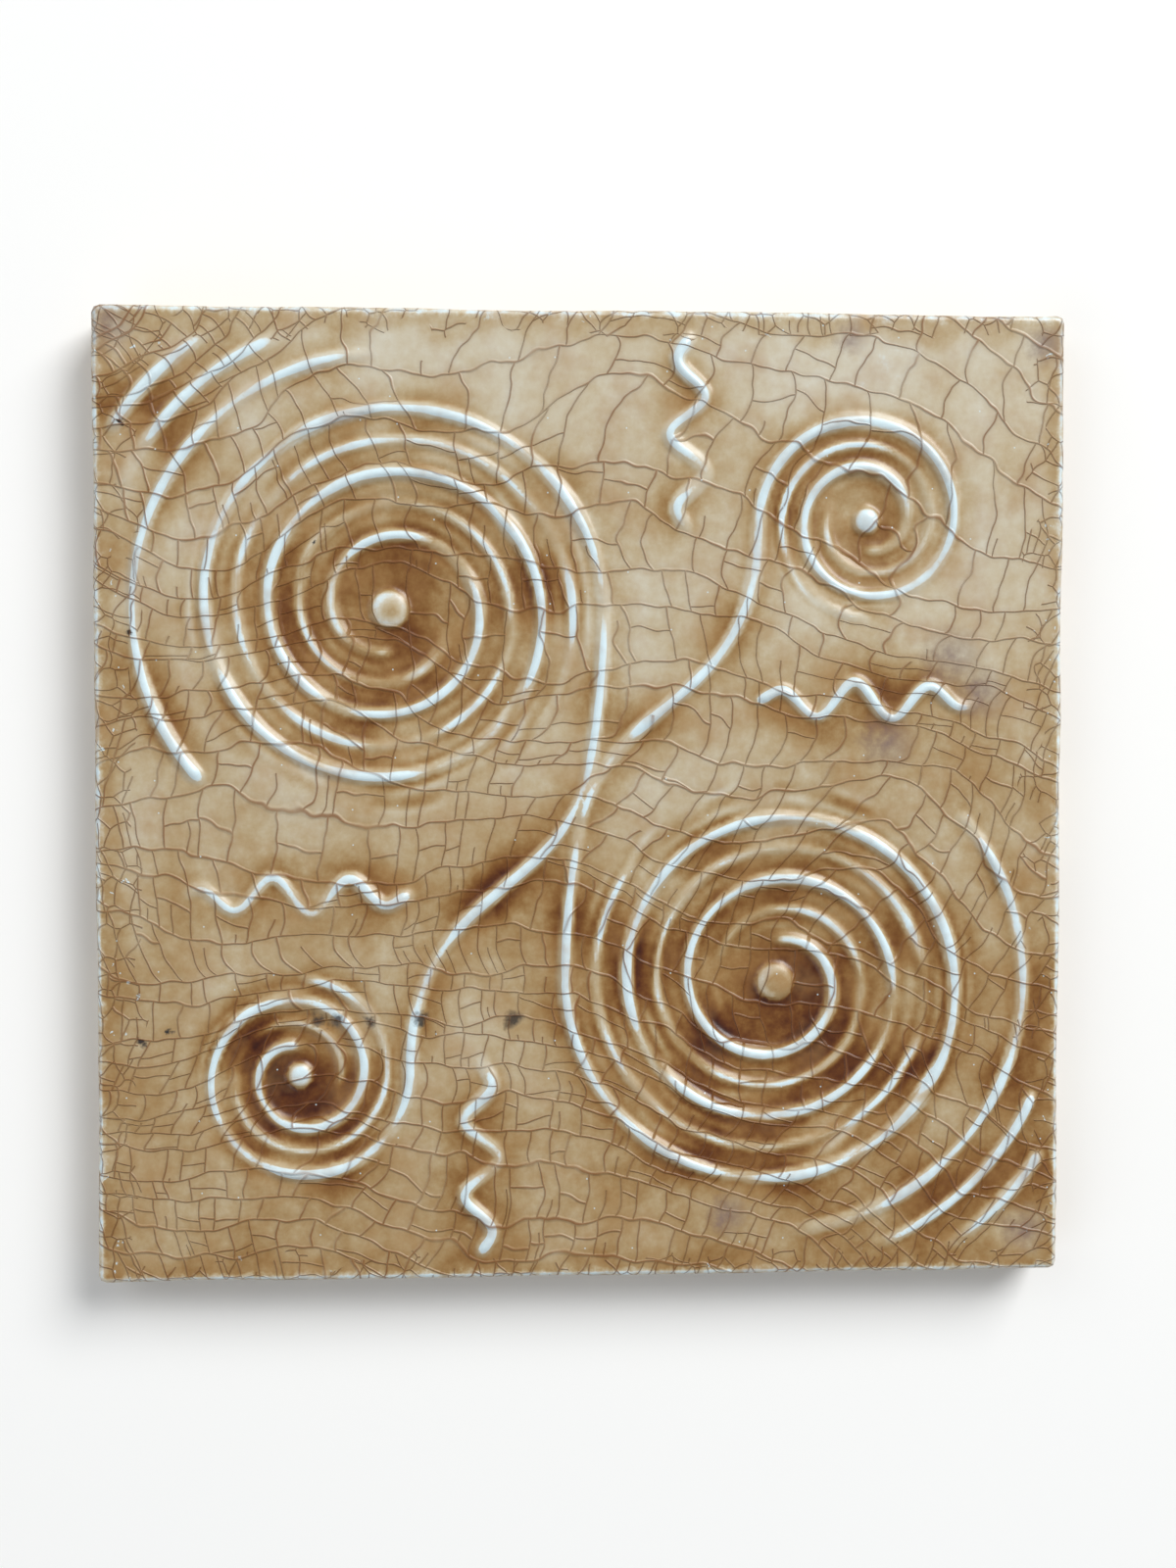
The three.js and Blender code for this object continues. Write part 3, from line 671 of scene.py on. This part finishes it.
def crack_net(tree, place, fine_zone):
    """Distance in millimetres to the nearest crack, and a chance for each cell."""
    field = add(tree, "Attribute", {}, attribute_name="crack_field")[1]
    unit = add(tree, "SeparateXYZ", [field])[2]
    shiver = add(tree, "TexNoise", {"Vector": place, "Scale": 1 / (5 * MM), "Detail": 1.0}, **FLAT)[1]
    shiver = add(tree, "VectorMath", [shiver, (0.5, 0.5, 0.5)], operation="SUBTRACT")[0]
    field = add(tree, "VectorMath", {0: shiver, 1: (1.5, 1.5, 0), 2: field}, operation="MULTIPLY_ADD")[0]
    across, along, _ = add(tree, "SeparateXYZ", [field])
    across = add(tree, "Math", [across, LONG_SPACING], operation="DIVIDE")[0]
    along = add(tree, "Math", [along, CROSS_SPACING], operation="DIVIDE")[0]
    drift = add(tree, "Math", [along, 0.25], operation="MULTIPLY")[0]
    long_gap, band = jittered_lines(tree, across, 0.0, 1.0, LONG_SPREAD, drift)

    # Each band's cross cracks start anywhere, lean a little and bow a little
    start, lean, bow = dice(tree, band, 0.0, 9.0)
    in_band = add(tree, "Math", [across, band], operation="SUBTRACT")[0]
    from_middle = add(tree, "Math", [in_band, 0.5], operation="SUBTRACT")[0]
    lean = add(tree, "Math", [lean, 0.6, -0.3], operation="MULTIPLY_ADD")[0]
    bow = add(tree, "Math", [bow, 0.9, -0.45], operation="MULTIPLY_ADD")[0]
    lean = add(tree, "Math", [from_middle, bow, lean], operation="MULTIPLY_ADD")[0]
    shifted = add(tree, "Math", [start, 7.3, along], operation="MULTIPLY_ADD")[0]
    shifted = add(tree, "Math", [from_middle, lean, shifted], operation="MULTIPLY_ADD")[0]
    cross_gap, cell = jittered_lines(tree, shifted, band, 2.0, CROSS_SPREAD)
    in_cell = add(tree, "Math", [shifted, cell], operation="SUBTRACT")[0]

    # A crack that splits some cells lengthwise, slanting by chance
    share, where, slant = dice(tree, band, cell, 3.0)
    slant = add(tree, "Math", [slant, 0.5, -0.25], operation="MULTIPLY_ADD")[0]
    where = add(tree, "Math", [where, 0.3, 0.35], operation="MULTIPLY_ADD")[0]
    where = add(tree, "Math", [in_cell, slant, where], operation="MULTIPLY_ADD")[0]
    split_gap = add(tree, "Math", [in_band, where], operation="SUBTRACT")[0]
    split_gap = add(tree, "Math", [split_gap], operation="ABSOLUTE")[0]
    unsplit = add(tree, "Math", [share, SPLIT_SHARE], operation="GREATER_THAN")[0]
    split_gap = add(tree, "Math", [unsplit, FAR, split_gap], operation="MULTIPLY_ADD")[0]

    # A crack that starts into some cells crosswise and dies out
    share, where, reach = dice(tree, band, cell, 6.0)
    where = add(tree, "Math", [where, 0.2, 0.4], operation="MULTIPLY_ADD")[0]
    dead_gap = add(tree, "Math", [in_cell, where], operation="SUBTRACT")[0]
    dead_gap = add(tree, "Math", [dead_gap], operation="ABSOLUTE")[0]
    reach = add(tree, "Math", [reach, 0.7, 0.1], operation="MULTIPLY_ADD")[0]
    past = add(tree, "Math", [in_band, reach], operation="GREATER_THAN")[0]
    whole = add(tree, "Math", [share, DEAD_END_SHARE], operation="GREATER_THAN")[0]
    dead_gap = add(tree, "Math", [past, FAR, dead_gap], operation="MULTIPLY_ADD")[0]
    dead_gap = add(tree, "Math", [whole, FAR, dead_gap], operation="MULTIPLY_ADD")[0]

    # Later cracks are finer: their distances are stretched before the nearest is taken
    gaps = [
        (long_gap, LONG_SPACING), (cross_gap, CROSS_SPACING / 0.9),
        (split_gap, LONG_SPACING / 0.75), (dead_gap, CROSS_SPACING / 0.7),
    ]
    nearest = FAR
    for gap, spacing in gaps:
        gap = add(tree, "Math", [gap, spacing], operation="MULTIPLY")[0]
        nearest = add(tree, "Math", [gap, nearest], operation="MINIMUM")[0]
    nearest = add(tree, "Math", [nearest, unit], operation="MULTIPLY")[0]

    # At the worn edges a finer net without order comes on top
    bend = {0: shiver, 1: (2 * MM, 2 * MM, 0), 2: place}
    bent_place = add(tree, "VectorMath", bend, operation="MULTIPLY_ADD")[0]
    cells = {"Vector": bent_place, "Scale": 1 / (FINE_SPACING * MM)}
    fine_gap = add(tree, "TexVoronoi", cells, voronoi_dimensions="2D", feature="DISTANCE_TO_EDGE")[0]
    outside = add(tree, "Math", [fine_zone, 0.5], operation="LESS_THAN")[0]
    outside = add(tree, "Math", [outside, FAR], operation="MULTIPLY")[0]
    fine_gap = add(tree, "Math", [fine_gap, 1.5 * FINE_SPACING, outside], operation="MULTIPLY_ADD")[0]
    nearest = add(tree, "Math", [nearest, fine_gap], operation="MINIMUM")[0]
    return nearest, dice(tree, band, cell, 11.0)[0]


# %% [markdown]
# ## Marks of age
#
# Old dirt and damage belong to the tile: small dark specks, a row of smudges, grey stains, pinholes that
# burst in the kiln, and chips along the worn edges. They could be painted on an image, but distances to
# places in millimetres stay sharp at any size. Noise breaks up their rims later.

# %% Where the marks lie
SPECKS = [
    (-70.5 + 57j, 0.55), (-68.2 - 37.6j, 0.75), (-42 + 39.1j, 0.4), (-69.2 + 25.3j, 0.5),
    (-63.5 - 35.9j, 0.6),
]
SMUDGES = [
    (-41.4 - 34.3j, 1.1), (-38.3 - 34.6j, 1.3), (-33.2 - 34.8j, 1.0), (-25.3 - 34.2j, 1.2),
    (-11.2 - 34.5j, 1.5),
]
GREY_STAINS = [
    (71.8 + 70.3j, 3.0), (41.2 + 71.1j, 2.4), (47.4 + 8.6j, 4.0), (57.4 + 21.5j, 4.5), (62.0 + 16.5j, 4.0),
    (69.5 - 68.2j, 3.5), (22.4 - 65.5j, 3.0), (-72.3 + 71.8j, 3.5),
]
print(len(SPECKS), "specks,", len(SMUDGES), "smudges,", len(GREY_STAINS), "grey stains")


def spots(tree, place, marks):
    """Distance to the nearest of some round marks, counted in its own radii."""
    nearest = FAR
    for centre, radius in marks:
        middle = (centre.real * MM, centre.imag * MM, 0)
        gap = add(tree, "VectorMath", [place, middle], operation="DISTANCE")[1]
        gap = add(tree, "Math", [gap, radius * MM], operation="DIVIDE")[0]
        nearest = add(tree, "Math", [gap, nearest], operation="MINIMUM")[0]
    return nearest


def dots(tree, place, pitch, radius, share):
    """1 on small round dots, one in each Voronoi cell whose chance is under the share."""
    cells = add(tree, "TexVoronoi", {"Vector": place, "Scale": 1 / (pitch * MM)}, voronoi_dimensions="2D")
    chance = add(tree, "SeparateColor", [cells[1]])[0]
    chosen = add(tree, "Math", [chance, share], operation="LESS_THAN")[0]
    limits = {"Value": cells[0], "From Min": radius / pitch, "From Max": 0.4 * radius / pitch}
    dot = add(tree, "MapRange", limits)[0]
    return add(tree, "Math", [dot, chosen], operation="MULTIPLY")[0]


# %% [markdown]
# ## Honey glaze
#
# A translucent lead glaze is coloured glass over pale clay. Each layer of it lets through the same share of
# the light, so its colour is the clay's times the glaze's raised to the power of its depth. Blender's Gamma
# node is that power. A ramp of painted colours could look alike, but this one law gives the pools, the field
# and the bare crests together. Where the glaze is thinnest it turns a pale blue-white: partly the milky look
# of thin glaze, partly a painted bluish reflection of the sky.
#
# The surface is fired glass: smooth, IOR about 1.5, with soft waves. Crazing shows as brown stained lines
# whose lips stand up a little and catch the light. Dirt sits in them, and the glass between them varies a
# little from cell to cell.

# %% How deep the glaze is, and its colour
BODY = "#e1e6e5"
GLAZE_PASS = "#c9aa7f"
# Pale blue-white: partly the milky look of thin glaze, partly a painted bluish reflection of the sky;
# pinholes and chips take it too
PALE_BLUE_WHITE = "#d8eef5"
SHED_FROM, SHED_POWER = 0.11, 11.0
THINNEST = 0.02


def glaze_depth(tree, clouds, grain, cell_chance, from_arris):
    """Even glaze times exp(-SHED_POWER times the height over SHED_FROM) plus caught glaze, times a mottle."""
    glaze = add(tree, "Attribute", {}, attribute_name="glaze")[1]
    stands_up, even_glaze, caught_glaze = add(tree, "SeparateXYZ", [glaze])

    # Clouds and grain fray the rim of the pale crests
    frayed = add(tree, "Math", [clouds, 0.36, -0.26], operation="MULTIPLY_ADD")[0]
    frayed = add(tree, "Math", [grain, 0.16, frayed], operation="MULTIPLY_ADD")[0]
    stands_up = add(tree, "Math", [stands_up, frayed], operation="ADD")[0]
    shed = add(tree, "Math", [stands_up, -SHED_POWER, SHED_FROM * SHED_POWER], operation="MULTIPLY_ADD")[0]
    shed = add(tree, "Math", [shed, 0.0], operation="MINIMUM")[0]
    left = add(tree, "Math", [shed], operation="EXPONENT")[0]
    depth = add(tree, "Math", [even_glaze, left, caught_glaze], operation="MULTIPLY_ADD")[0]
    depth = add(tree, "Math", [depth, THINNEST], operation="MAXIMUM")[0]

    # Mottling by clouds, by grain and from cell to cell
    mottle = add(tree, "Math", [clouds, 0.6, 0.22], operation="MULTIPLY_ADD")[0]
    mottle = add(tree, "Math", [grain, 0.85, mottle], operation="MULTIPLY_ADD")[0]
    mottle = add(tree, "Math", [cell_chance, 0.12, mottle], operation="MULTIPLY_ADD")[0]
    depth = add(tree, "Math", [depth, mottle], operation="MULTIPLY")[0]

    # The glaze drew back from the arris, in an uneven pale band
    fringe = add(tree, "Math", [grain, 2.4, -1.2], operation="MULTIPLY_ADD")[0]
    fringe = add(tree, "Math", [from_arris, fringe], operation="ADD")[0]
    kept = add(tree, "MapRange", {"Value": fringe, "From Min": 0.2, "From Max": 1.5, "To Min": 0.08})[0]
    return add(tree, "Math", [depth, kept], operation="MULTIPLY")[0]


def glaze_colour(tree, depth):
    """Clay colour times glaze colour to the power of the depth, mixed with pale blue-white where it is thin:
    the milky look of thin glaze plus a painted reflection of the sky.
    """
    passed = add(tree, "Gamma", [colour(GLAZE_PASS), depth])[0]
    shade = add(tree, "Mix", {0: 1.0, 6: colour(BODY), 7: passed}, data_type="RGBA", blend_type="MULTIPLY")[2]
    # Where the glaze is thin, a pale blue-white is mixed in: partly thin glaze, partly a painted reflection
    # of the sky
    thin_glaze_sheen = add(tree, "MapRange", {"Value": depth, "From Min": 0.32, "From Max": 0.05, "To Max": 0.85})[0]
    return add(tree, "Mix", {0: thin_glaze_sheen, 6: shade, 7: colour(PALE_BLUE_WHITE)}, data_type="RGBA")[2]


print("glaze one unit deep lets through", np.round(colour(GLAZE_PASS)[:3], 2), "of red, green and blue")

# %% Stains, crack lines and chips over the colour
BLUSH = "#a67d4c"
GREY_STAIN = "#74646c"
SPECK = "#2b2b2b"
CRACK_STAIN = "#764202"
LINE_REACH, LINE_CORE, HALO_REACH = 0.17, 0.03, 1.1
PINHOLE_PITCH, PINHOLE_RADIUS, PINHOLE_SHARE = 6.0, 0.16, 0.28
CHIP_PITCH, CHIP_RADIUS, CHIP_SHARE = 1.9, 0.25, 0.07


def with_stains(tree, shade, place, ragged, grain):
    """The shade mixed with brown blushes, then grey stains, then dark smudges, then specks."""
    blotches = {"Vector": place, "Scale": 1 / (8 * MM), "Detail": 3.0, "Roughness": 0.6}
    blotch = add(tree, "TexNoise", blotches, **FLAT)[0]
    blush = add(tree, "MapRange", {"Value": blotch, "From Min": 0.46, "From Max": 0.75, "To Max": 0.4})[0]
    to_grey = spots(tree, ragged, GREY_STAINS)
    grey = add(tree, "MapRange", {"Value": to_grey, "From Min": 1.3, "From Max": 0.1})[0]
    grey = add(tree, "Math", [grey, grain], operation="MULTIPLY")[0]
    to_smudge = spots(tree, ragged, SMUDGES)
    smudge = add(tree, "MapRange", {"Value": to_smudge, "From Min": 1.2, "From Max": 0.3, "To Max": 0.9})[0]
    to_speck = spots(tree, ragged, SPECKS)
    speck = add(tree, "MapRange", {"Value": to_speck, "From Min": 1.2, "From Max": 0.5})[0]
    for amount, tint in ((blush, BLUSH), (grey, GREY_STAIN), (smudge, SPECK), (speck, SPECK)):
        shade = add(tree, "Mix", {0: amount, 6: shade, 7: colour(tint)}, data_type="RGBA")[2]
    return shade


def with_crack_lines(tree, shade, place, gap):
    """The shade mixed with a brown line about 0.2 mm wide on each crack, in a faint halo. The line grows
    stronger and weaker along its way."""
    waver = add(tree, "TexNoise", {"Vector": place, "Scale": 1 / (9 * MM), "Detail": 2.0}, **FLAT)[0]
    waver = {"Value": waver, "From Min": 0.3, "From Max": 0.6, "To Min": 0.27, "To Max": 0.65}
    strength = add(tree, "MapRange", waver)[0]
    line = {"Value": gap, "From Min": LINE_REACH, "From Max": LINE_CORE}
    line = add(tree, "MapRange", line, interpolation_type="SMOOTHSTEP")[0]
    halo = add(tree, "MapRange", {"Value": gap, "From Min": HALO_REACH, "From Max": 0.1, "To Max": 0.12})[0]
    amount = add(tree, "Math", [line, strength, halo], operation="MULTIPLY_ADD")[0]
    return add(tree, "Mix", {0: amount, 6: shade, 7: colour(CRACK_STAIN)}, data_type="RGBA")[2]


def with_pale_damage(tree, shade, place, ragged, fine_zone):
    """The shade with pale pinholes all over it and, where the crazing is fine, small pale chips."""
    pinhole = dots(tree, place, PINHOLE_PITCH, PINHOLE_RADIUS, PINHOLE_SHARE)
    chip = dots(tree, ragged, CHIP_PITCH, CHIP_RADIUS, CHIP_SHARE)
    chip = add(tree, "Math", [chip, fine_zone], operation="MULTIPLY")[0]
    pale = add(tree, "Math", [pinhole, chip], operation="MAXIMUM")[0]
    pale = add(tree, "Math", [pale, 0.75], operation="MULTIPLY")[0]
    return add(tree, "Mix", {0: pale, 6: shade, 7: colour(PALE_BLUE_WHITE)}, data_type="RGBA")[2]


print(f"crack lines {LINE_REACH + LINE_CORE:.1f} mm wide in a halo of {2 * HALO_REACH:.1f} mm")

# %% The glaze material
GLAZE_IOR = 1.52
GLAZE_ROUGHNESS, LIP_ROUGHNESS = 0.32, 0.3
WAVE_HEIGHT, LIP_HEIGHT, LIP_REACH = 0.05, 0.13, 0.29


def honey_glaze():
    """Colour by depth under stains, crack lines and chips, on waved glass with raised crack lips."""
    material, tree = new_material("honey_lead_glaze")
    place = add(tree, "Attribute", {}, attribute_name="unrolled")[1]
    edges = add(tree, "Attribute", {}, attribute_name="edges")[1]
    from_arris, fine_zone, _ = add(tree, "SeparateXYZ", [edges])
    gap, cell_chance = crack_net(tree, place, fine_zone)

    # Clouds 12 mm across and grain of 2.5 mm, which also pushes the place about to make ragged rims
    cloud_noise = {"Vector": place, "Scale": 1 / (12 * MM), "Detail": 2.0, "Roughness": 0.55}
    clouds = add(tree, "TexNoise", cloud_noise, **FLAT)[0]
    grain_noise = {"Vector": place, "Scale": 1 / (2.5 * MM), "Detail": 3.0, "Roughness": 0.7}
    grain, grain_colour = add(tree, "TexNoise", grain_noise, **FLAT)
    push = add(tree, "VectorMath", [grain_colour, (0.5, 0.5, 0.5)], operation="SUBTRACT")[0]
    push = {0: push, 1: (3 * MM, 3 * MM, 0), 2: place}
    ragged = add(tree, "VectorMath", push, operation="MULTIPLY_ADD")[0]

    depth = glaze_depth(tree, clouds, grain, cell_chance, from_arris)
    shade = glaze_colour(tree, depth)
    shade = with_stains(tree, shade, place, ragged, grain)
    shade = with_crack_lines(tree, shade, place, gap)
    shade = with_pale_damage(tree, shade, place, ragged, fine_zone)

    # Bump in millimetres: waves in the glass, and crack lips that stand up
    waves = add(tree, "TexNoise", {"Vector": place, "Scale": 1 / (4 * MM), "Detail": 2.0}, **FLAT)[0]
    lips = {"Value": gap, "From Min": LIP_REACH, "From Max": 0.0}
    lips = add(tree, "MapRange", lips, interpolation_type="SMOOTHSTEP")[0]
    surface = add(tree, "Math", [waves, WAVE_HEIGHT], operation="MULTIPLY")[0]
    surface = add(tree, "Math", [lips, LIP_HEIGHT, surface], operation="MULTIPLY_ADD")[0]
    normal = add(tree, "Bump", {"Strength": 1.0, "Distance": MM, "Height": surface})[0]

    roughness = add(tree, "Math", [lips, LIP_ROUGHNESS, GLAZE_ROUGHNESS], operation="MULTIPLY_ADD")[0]
    look = {"Base Color": shade, "Roughness": roughness, "IOR": GLAZE_IOR, "Normal": normal}
    add(tree, "OutputMaterial", [add(tree, "BsdfPrincipled", look)[0]])
    return material


mesh.materials.append(honey_glaze())
print(mesh.materials[0].name, "has", len(mesh.materials[0].node_tree.nodes), "nodes")

# %% [markdown]
# ## Buff bisque
#
# Below the glaze line the clay is bare. It is bisque, which is fired clay: a dry, matt, pale buff body with
# fine pores and grains, greyed by handling and by old bedding in the grooves. A plain colour would do for so
# little of the tile, but the back is seen too when the part is turned over. The real grain is finer than the
# 0.6 mm drawn here, which is as coarse as it needs to be to show.

# %% Bare clay material
CLAY, CLAY_DARK, CLAY_GREY = "#d9c7a8", "#bda584", "#a59c8d"
BISQUE_ROUGHNESS = 0.85
GRAIN_HEIGHT, PORE_DEPTH, UNEVENNESS = 0.10, 0.12, 0.4


def buff_bisque():
    """Buff mixed with darker buff by clouds, greyed in patches, with fine grain in its colour and bump."""
    material, tree = new_material("buff_bisque")
    place = add(tree, "TexCoord", {})[3]
    clouds = add(tree, "TexNoise", {"Vector": place, "Scale": 1 / (15 * MM), "Detail": 4.0})[0]
    grain_noise = {"Vector": place, "Scale": 1 / (0.6 * MM), "Detail": 3.0, "Roughness": 0.7}
    grain = add(tree, "TexNoise", grain_noise)[0]
    patch_noise = {"Vector": place, "Scale": 1 / (28 * MM), "Detail": 5.0, "Roughness": 0.65}
    patches = add(tree, "TexNoise", patch_noise)[0]
    pores = add(tree, "TexVoronoi", {"Vector": place, "Scale": 1 / (1.4 * MM)})[0]
    cloudy = add(tree, "MapRange", {"Value": clouds, "From Min": 0.35, "From Max": 0.7})[0]
    greyed = add(tree, "MapRange", {"Value": patches, "From Min": 0.5, "From Max": 0.75, "To Max": 0.6})[0]
    pore = add(tree, "MapRange", {"Value": pores, "From Min": 0.16, "From Max": 0.08, "To Max": 0.5})[0]
    speckle = add(tree, "MapRange", {"Value": grain, "From Min": 0.3, "From Max": 0.7, "To Max": 0.3})[0]
    shade = colour(CLAY)
    for amount, tint in ((cloudy, CLAY_DARK), (greyed, CLAY_GREY), (speckle, CLAY_DARK), (pore, CRACK_STAIN)):
        shade = add(tree, "Mix", {0: amount, 6: shade, 7: colour(tint)}, data_type="RGBA")[2]

    # Bump in millimetres: grain, sunk pores and wide unevenness
    surface = add(tree, "Math", [grain, GRAIN_HEIGHT], operation="MULTIPLY")[0]
    surface = add(tree, "Math", [pore, -PORE_DEPTH, surface], operation="MULTIPLY_ADD")[0]
    surface = add(tree, "Math", [patches, UNEVENNESS, surface], operation="MULTIPLY_ADD")[0]
    normal = add(tree, "Bump", {"Strength": 1.0, "Distance": MM, "Height": surface})[0]
    look = {"Base Color": shade, "Roughness": BISQUE_ROUGHNESS, "Normal": normal}
    add(tree, "OutputMaterial", [add(tree, "BsdfPrincipled", look)[0]])
    return material


mesh.materials.append(buff_bisque())
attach(glazed_tile, "root")
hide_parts("tile")
print("materials", [material.name for material in mesh.materials])

# %% [markdown]
# ## Floor and light
#
# A plain pale floor of matt paint and soft daylight. The lights stand low enough that the flat face doesn't
# mirror them into the camera, so its colour stays clear, while the flanks of the raised lines pick them up.

# %% Floor
FLOOR = "#fbfbf9"
FLOOR_HALF, FLOOR_ROUGHNESS = 1.5, 0.9
floor_mesh = bpy.data.meshes.new("floor")
floor_corners = [(x * FLOOR_HALF, y * FLOOR_HALF, 0) for x, y in ((-1, -1), (1, -1), (1, 1), (-1, 1))]
floor_mesh.from_pydata(floor_corners, [], [(0, 1, 2, 3)])
floor = bpy.data.objects.new("floor", floor_mesh)
bpy.context.collection.objects.link(floor)
paint, paint_tree = new_material("matt_paint")
paint_look = {"Base Color": colour(FLOOR), "Roughness": FLOOR_ROUGHNESS}
add(paint_tree, "OutputMaterial", [add(paint_tree, "BsdfPrincipled", paint_look)[0]])
floor_mesh.materials.append(paint)
print(f"floor {2 * FLOOR_HALF:.0f} m square")

# %% Lights and sky
SKY, SKY_STRENGTH = "#f1f5fa", 0.30


def soft_light(name, azimuth, elevation, distance, size, watts):
    """A square area light that faces the tile from a compass direction (0 is +X) and a height in degrees."""
    data = bpy.data.lights.new(name, "AREA")
    data.shape = "SQUARE"
    data.size = size
    data.energy = watts
    light = bpy.data.objects.new(name, data)
    bpy.context.collection.objects.link(light)
    a, e = math.radians(azimuth), math.radians(elevation)
    towards = np.array([math.cos(a) * math.cos(e), math.sin(a) * math.cos(e), math.sin(e)])
    light.location = towards * distance
    light.rotation_euler = (math.pi / 2 - e, 0, a + math.pi / 2)


soft_light("window", 50, 39, 2.6, 1.4, 66)
soft_light("fill", 215, 35, 2.6, 2.0, 11)
soft_light("side", 140, 40, 2.6, 1.8, 11)
world = bpy.data.worlds.new("sky")
world.use_nodes = True
world.node_tree.nodes["Background"].inputs["Color"].default_value = colour(SKY)
world.node_tree.nodes["Background"].inputs["Strength"].default_value = SKY_STRENGTH
bpy.context.scene.world = world
bpy.context.scene.view_settings.view_transform = "Standard"
